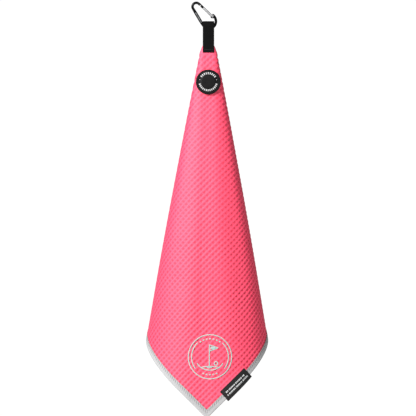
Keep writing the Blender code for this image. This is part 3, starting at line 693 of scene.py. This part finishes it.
# ---------------------------------------------------------------- webbing loop
def webbing_line(steps=40):
    """Middle line of the webbing in Y, Z, from the front leg's end round to the back's."""
    leg_y = CLOTH_T / 2 + GAP + WEB_T / 2
    corner_z = CLAMP_Z + CLAMP_HALF
    drop = LOOP_Z - corner_z
    touch = -math.asin((LOOP_R - leg_y) / drop)
    end_y = -FRONT_LEAN * WEB_LEG_END
    end_z = CLAMP_Z - FRONT_FALL * WEB_LEG_END
    front_end = (end_y - leg_y / FRONT_FALL, end_z)
    back_end = (end_y + leg_y / FRONT_FALL, end_z)
    bend = math.pi - touch + (2 * touch - math.pi) * np.linspace(0.0, 1.0, steps)
    arc = np.stack([LOOP_R * np.cos(bend), LOOP_Z + LOOP_R * np.sin(bend)], axis=-1)
    line = [front_end, (-leg_y, CLAMP_Z), (-leg_y, corner_z), *arc.tolist(), (leg_y, corner_z),
            (leg_y, CLAMP_Z), back_end]
    points = np.array(line)
    length = np.concatenate([[0.0], np.cumsum(np.linalg.norm(np.diff(points, axis=0), axis=1))])
    return points, length


def webbing_frame(s):
    """Place and outward normal of the webbing's middle line at distance s."""
    points, length = webbing_line()

    def at(where):
        return np.stack([np.interp(where, length, points[:, 0]),
                         np.interp(where, length, points[:, 1])], axis=-1)

    d = 0.0009
    tangent = at(s + d) - at(s - d)
    tangent /= np.linalg.norm(tangent, axis=-1, keepdims=True)
    normal = np.stack([-tangent[..., 1], tangent[..., 0]], axis=-1)
    return at(s), normal


def on_webbing(s, x, height):
    s, x, height = np.broadcast_arrays(*[np.asarray(a, float) for a in (s, x, height)])
    middle, normal = webbing_frame(s)
    spot = middle + normal * height[..., None]
    return np.stack([LOOP_X + x, spot[..., 0], spot[..., 1]], axis=-1)


WEB_LENGTH = float(webbing_line()[1][-1])


def build_webbing():
    count = 300
    s = np.linspace(0.0, WEB_LENGTH, count)
    half = WEB_W / 2
    x = np.linspace(-half + 0.0005, half - 0.0005, 36)
    rim = [(i, 1.0) for i in x]
    rim += [(half - 0.00015, 0.7), (half, 0.0), (half - 0.00015, -0.7)]
    rim += [(i, -1.0) for i in reversed(x)]
    rim += [(-half + 0.00015, -0.7), (-half, 0.0), (-half + 0.00015, 0.7)]
    xs = np.array([r[0] for r in rim])
    side = np.array([r[1] for r in rim])
    grid_s, grid_x = np.meshgrid(s, xs, indexing="ij")
    shift = 0.9 * np.sign(np.sin(grid_s * 2 * math.pi / PICK))
    rib = RIB * np.cos(grid_x * 2 * math.pi / RIB_PITCH + shift)
    selvedge = 0.00008 * np.exp(-((half - np.abs(grid_x) - 0.0012) / 0.0005) ** 2)
    height = side[None] * (WEB_T / 2 + (rib - selvedge) * (np.abs(side)[None] > 0.9))
    points = on_webbing(grid_s, grid_x, height)
    obj = mesh_object("webbing_strap", points, tube_faces(count, len(rim)), WEBBING,
                      np.stack([grid_s, grid_x], axis=-1))
    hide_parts("webbing_loop")
    return obj


def build_tack(name, node, s_middle):
    """A zigzag bar tack across one leg."""
    ends = []
    count = 34
    x = np.linspace(-TACK_LEN / 2, TACK_LEN / 2, count)
    s = s_middle + ZIGZAG * np.where(np.arange(count) % 2, 1.0, -1.0)
    places = on_webbing(s, x, WEB_T / 2 + 0.00010)
    ups = on_webbing(s, x, WEB_T / 2 + 0.00110) - places
    ups /= np.linalg.norm(ups, axis=-1, keepdims=True)
    for k in range(count - 1):
        ends.append((places[k], places[k + 1], ups[k]))
    verts, faces = threads(ends, 0.00012, 0.00017)
    uv = np.stack([np.arange(len(verts)) * 0.0002, np.arange(len(verts)) * 0.0001], axis=-1)
    obj = mesh_object(name, verts, faces, THREAD_BLACK, uv)
    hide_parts(node)
    return obj


# ---------------------------------------------------------------- patch
FRONT_DIR = Vector((-LEAN * FRONT_FALL, -FRONT_LEAN, -FRONT_FALL)).normalized()
FRONT_OUT = FRONT_DIR.cross(Vector((1.0, 0.0, 0.0))).normalized()
FRONT_SIDE = FRONT_OUT.cross(FRONT_DIR)


def patch_point(right, up, height):
    """Place over the patch, from its centre on the cloth's outer face."""
    right, up, height = np.broadcast_arrays(*[np.asarray(a, float) for a in (right, up, height)])
    start = np.array([LOOP_X, 0.0, CLAMP_Z]) + PATCH_AT * np.array(
        [-LEAN * FRONT_FALL, -FRONT_LEAN, -FRONT_FALL])
    start = start + np.array(FRONT_OUT) * (CLOTH_T / 2)
    sideways = np.array(FRONT_SIDE) * (1.0 if FRONT_SIDE.x > 0 else -1.0)
    return (start + right[..., None] * sideways - up[..., None] * np.array(FRONT_DIR)
            + height[..., None] * np.array(FRONT_OUT))


def build_patch():
    rim = PATCH_D / 2
    face = COVER_FROM + COVER_H
    pocket = MAGNET_D / 2 + GAP
    step = 0.00022
    profile = [
        (0.0, COVER_FROM + COVER_H - COVER_SKIN), (pocket, COVER_FROM + COVER_H - COVER_SKIN),
        (pocket, COVER_FROM), (rim - 0.0003, COVER_FROM), (rim, COVER_FROM + 0.0004),
        (rim, face - 0.0012), (rim - 0.00015, face - 0.0006), (rim - 0.0005, face - 0.0002),
        (rim - 0.0011, face), (rim - 0.0019, face), (rim - 0.0021, face - step),
        (0.0104, face - step), (0.0101, face), (0.0097, face + 0.00005), (0.0050, face), (0.0, face),
    ]
    around = 128
    a = np.arange(around) * 2 * math.pi / around
    verts = []
    for radius, height in profile[1:-1]:
        verts.append(patch_point(radius * np.cos(a), radius * np.sin(a), height))
    verts = np.concatenate(verts)
    rows = len(profile) - 2
    faces = grid_faces(rows, around, around=True)
    verts = np.concatenate([verts, patch_point([0.0], [0.0], profile[0][1]),
                            patch_point([0.0], [0.0], profile[-1][1])])
    low, high = rows * around, rows * around + 1
    for k in range(around):
        n = (k + 1) % around
        faces.append([low, k, n])
        faces.append([high, (rows - 1) * around + n, (rows - 1) * around + k])
    obj = mesh_object("patch_face", verts, faces, RUBBER, np.zeros((len(verts), 2)))
    obj.data.set_sharp_from_angle(angle=math.radians(38))
    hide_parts("patch_cover")
    return obj


def build_patch_marks():
    """Two arcs of plain raised ticks, and a dot on each side between them."""
    base = COVER_FROM + COVER_H - 0.00030
    top = COVER_FROM + COVER_H + 0.00010
    parts = []

    def place(turn, radius, height):
        turn, radius = np.broadcast_arrays(turn, radius)
        return patch_point(radius * np.cos(turn), radius * np.sin(turn), height)

    groups = [(90.0 + 13.0 * k, 7.6, 0.0114, 0.0147) for k in range(-4, 5)]
    groups += [(270.0 + 12.2 * k, 7.4, 0.0115, 0.0146) for k in range(-6, 7)]
    groups += [(166.0, 3.6, 0.0123, 0.0137), (14.0, 3.6, 0.0123, 0.0137)]
    for middle, wide, near, far in groups:
        low = (math.radians(middle - wide / 2), near)
        high = (math.radians(middle + wide / 2), far)
        parts.append(block(place, low, high, base, top))
    verts, faces = join(parts)
    obj = mesh_object("patch_marks", verts, faces, PATCH_PRINT, np.zeros((len(verts), 2)))
    return obj


# ---------------------------------------------------------------- emblem
def ribbon(points, width, closed=False):
    """A flat cord of thread along points (right, up) of the emblem, on the cloth."""
    p = np.asarray(points, float)
    if closed:
        forward = np.roll(p, -1, axis=0) - np.roll(p, 1, axis=0)
    else:
        forward = np.gradient(p, axis=0)
    forward /= np.linalg.norm(forward, axis=1, keepdims=True)
    side = np.stack([-forward[:, 1], forward[:, 0]], axis=1)
    half = width / 2
    rim = ((-1.0, 0.00002), (-0.8, 0.00022), (0.0, 0.00032), (0.8, 0.00022), (1.0, 0.00002),
           (0.0, -0.00040))
    rows = []
    for across, height in rim:
        spot = p + side * (across * half)
        u, v = square_point(EMBLEM_DOWN - spot[:, 1], EMBLEM_ACROSS + spot[:, 0])
        rows.append(on_cloth(u, v, CLOTH_T / 2 + height))
    verts = np.stack(rows, axis=1)
    count, columns = verts.shape[:2]
    if closed:
        faces = grid_faces(count, columns, around=True)
        last = (count - 1) * columns
        for j in range(columns):
            k = (j + 1) % columns
            faces.append([last + j, j, k, last + k])
    else:
        faces = tube_faces(count, columns)
    return verts.reshape(-1, 3), faces


def ring(radius, start, end, step=0.0006):
    count = max(8, int(radius * math.radians(end - start) / step))
    a = np.radians(np.linspace(start, end, count))
    return np.stack([radius * np.cos(a), radius * np.sin(a)], axis=-1)


def stroke(*corners, step=0.0006):
    rows = []
    for near, far in zip(corners, corners[1:]):
        near, far = np.array(near), np.array(far)
        count = max(2, int(np.linalg.norm(far - near) / step))
        t = np.linspace(0.0, 1.0, count, endpoint=False)[:, None]
        rows.append(near + (far - near) * t)
    rows.append(np.array([corners[-1]]))
    return np.concatenate(rows)


def build_emblem():
    """A flag, a green and a ball inside two rings, with two rows of dots."""
    thin = EMBLEM_LINE
    tall = np.array(EMBLEM_SCALE)
    parts = [ribbon(ring(EMBLEM_RING, 0.0, 359.0) * tall, thin, closed=True)]
    for start, end in ((-38.0, 48.0), (132.0, 218.0)):
        parts.append(ribbon(ring(EMBLEM_ARC, start, end) * tall, thin))
    for middle, count in ((90.0, 7), (270.0, 5)):
        for k in range(count):
            angle = middle + (k - (count - 1) / 2) * 11.0
            parts.append(ribbon(ring(EMBLEM_DOTS, angle - 2.9, angle + 2.9) * tall, EMBLEM_DOT))
    parts.append(ribbon(stroke((-0.0010, -0.0150), (-0.0010, 0.0185)), thin))
    flag = stroke((-0.0010, 0.0180), (0.0120, 0.0135), (-0.0010, 0.0085))
    parts.append(ribbon(flag, thin))
    parts.append(ribbon(stroke((0.0006, 0.0133), (0.0080, 0.0133)), 0.0040))
    hill = ring(0.0300, 62.0, 118.0) * np.array([1.0, 0.5]) + np.array([0.0, -0.0295])
    parts.append(ribbon(hill, thin))
    hollow = ring(0.0215, 200.0, 340.0) * np.array([0.95, 0.75]) + np.array([0.0, -0.0040])
    parts.append(ribbon(hollow, thin))
    parts.append(ribbon(ring(0.0026, 0.0, 350.0) + np.array([0.0090, -0.0100]), thin, closed=True))
    parts.append(ribbon(ring(0.0040, 200.0, 340.0) * np.array([1.0, 0.4])
                        + np.array([-0.0010, -0.0150]), thin))
    verts, faces = join(parts)
    obj = mesh_object("emblem_embroidery", verts, faces, EMBLEM, np.zeros((len(verts), 2)))
    return obj


# ---------------------------------------------------------------- camera, stage, light
def build_camera():
    data = bpy.data.cameras.new("camera")
    data.lens = LENS
    data.sensor_width = 36.0
    data.clip_end = 60.0
    camera = bpy.data.objects.new("camera", data)
    camera.location = CAMERA_AT
    camera.rotation_euler = (math.radians(90.0), 0.0, 0.0)
    bpy.context.scene.collection.objects.link(camera)
    bpy.context.scene.camera = camera


def build_stage():
    count = 96
    a = np.arange(count) * 2 * math.pi / count
    verts = []
    for radius, height in ((0.0, FLOOR_Z), (FLOOR_R - 0.03, FLOOR_Z), (FLOOR_R, FLOOR_Z - 0.004),
                           (FLOOR_R, FLOOR_Z - 0.02)):
        x = LOOP_X + radius * np.cos(a)
        verts.append(np.stack([x, radius * np.sin(a), np.full(count, height)], axis=-1))
    s = Shader("pale_floor", 0.7)
    grain = s.noise(60.0, 5.0)
    s.set("Base Color", s.mix(grain, (0.88, 0.88, 0.875), (0.93, 0.93, 0.925)))
    s.bump(grain, 0.0004, 0.3)
    mesh = bpy.data.meshes.new("floor")
    mesh.from_pydata(np.concatenate(verts).tolist(), [], grid_faces(4, count, around=True))
    mesh.materials.append(s.material)
    mesh.shade_smooth()
    floor = bpy.data.objects.new("floor", mesh)
    bpy.context.scene.collection.objects.link(floor)


def area_light(name, at, aim, size, energy):
    data = bpy.data.lights.new(name, "AREA")
    data.size = size
    data.energy = energy
    lamp = bpy.data.objects.new(name, data)
    lamp.location = at
    lamp.rotation_mode = "QUATERNION"
    lamp.rotation_quaternion = (Vector(aim) - Vector(at)).to_track_quat("-Z", "Y")
    bpy.context.scene.collection.objects.link(lamp)


def build_world():
    """White to the eye, and a dimmer soft light on the object."""
    world = bpy.data.worlds.new("studio")
    bpy.context.scene.world = world
    world.use_nodes = True
    tree = world.node_tree
    seen = tree.nodes.new("ShaderNodeLightPath")
    white = tree.nodes["Background"]
    white.inputs["Color"].default_value = (1.0, 1.0, 1.0, 1.0)
    white.inputs["Strength"].default_value = WHITE
    soft = tree.nodes.new("ShaderNodeBackground")
    soft.inputs["Color"].default_value = (1.0, 1.0, 1.0, 1.0)
    soft.inputs["Strength"].default_value = SOFT
    choose = tree.nodes.new("ShaderNodeMixShader")
    tree.links.new(seen.outputs["Is Camera Ray"], choose.inputs["Fac"])
    tree.links.new(soft.outputs["Background"], choose.inputs[1])
    tree.links.new(white.outputs["Background"], choose.inputs[2])
    tree.links.new(choose.outputs["Shader"], tree.nodes["World Output"].inputs["Surface"])


def finish_metal():
    rod = rod_material()
    gate = metal_material("satin_gate_metal", (0.46, 0.46, 0.47), (0.33, 0.33, 0.34), 0.42, True)
    pin = metal_material("turned_pin_steel", (0.16, 0.16, 0.165), (0.10, 0.10, 0.10), 0.36, False)
    plate = metal_material("nickel_plating", (0.70, 0.69, 0.67), (0.50, 0.49, 0.47), 0.20, False)
    given = {"carabiner_body": rod, "carabiner_gate": gate, "gate_hinge_pin": pin,
             "gate_latch_pin": pin, "gate_spring": pin, "gate_plunger": pin,
             "patch_magnet": plate, "patch_backing": felt_material()}
    for name, material in given.items():
        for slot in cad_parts[name].material_slots:
            slot.material = material


bpy.context.scene.view_settings.view_transform = "Standard"
build_camera()
build_stage()
build_world()
area_light("key", KEY_AT, KEY_AIM, KEY_SIZE, KEY_POWER)
area_light("front_fill", FILL_AT, FILL_AIM, FILL_SIZE, FILL_POWER)
finish_metal()
cloth = build_cloth()
binding = build_binding()
stitches = build_binding_stitches()
label = build_label()
label_marks = build_label_marks()
strap = build_webbing()
front_tack = build_tack("tack_zigzag_front", "bar_tack_front", TACK_UP)
back_tack = build_tack("tack_zigzag_back", "bar_tack_back", WEB_LENGTH - TACK_UP)
build_patch()
build_patch_marks()
emblem = build_emblem()
